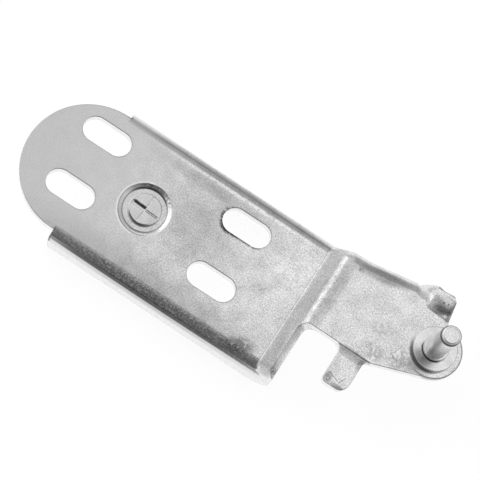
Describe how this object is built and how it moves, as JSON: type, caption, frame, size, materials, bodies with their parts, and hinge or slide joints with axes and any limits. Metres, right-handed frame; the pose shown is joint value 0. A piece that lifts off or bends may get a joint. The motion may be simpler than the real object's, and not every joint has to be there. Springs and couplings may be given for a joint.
{
  "type": "refrigerator door hinge",
  "caption": "Pressed steel door hinge bracket with slotted body, folded flanges, stepped arm, spring finger, stop tab and an upright riveted hinge pin.",
  "frame": {"origin": "middle of the body's round end, on the flat face that meets the cabinet", "axes": "+X along the body from the round end to the hinge pin, +Z out of the cabinet face, the way the pin points"},
  "size_m": [0.1441, 0.0514, 0.0388],
  "materials": {
    "plated_sheet": "zinc plated, satin",
    "pin_steel": "turned, zinc plated",
    "stud_steel": "staked, zinc plated"
  },
  "bodies": {
    "root": {"hinge_plate": "plated_sheet", "hinge_pin": "pin_steel", "locating_stud": "stud_steel"}
  },
  "joints": []
}
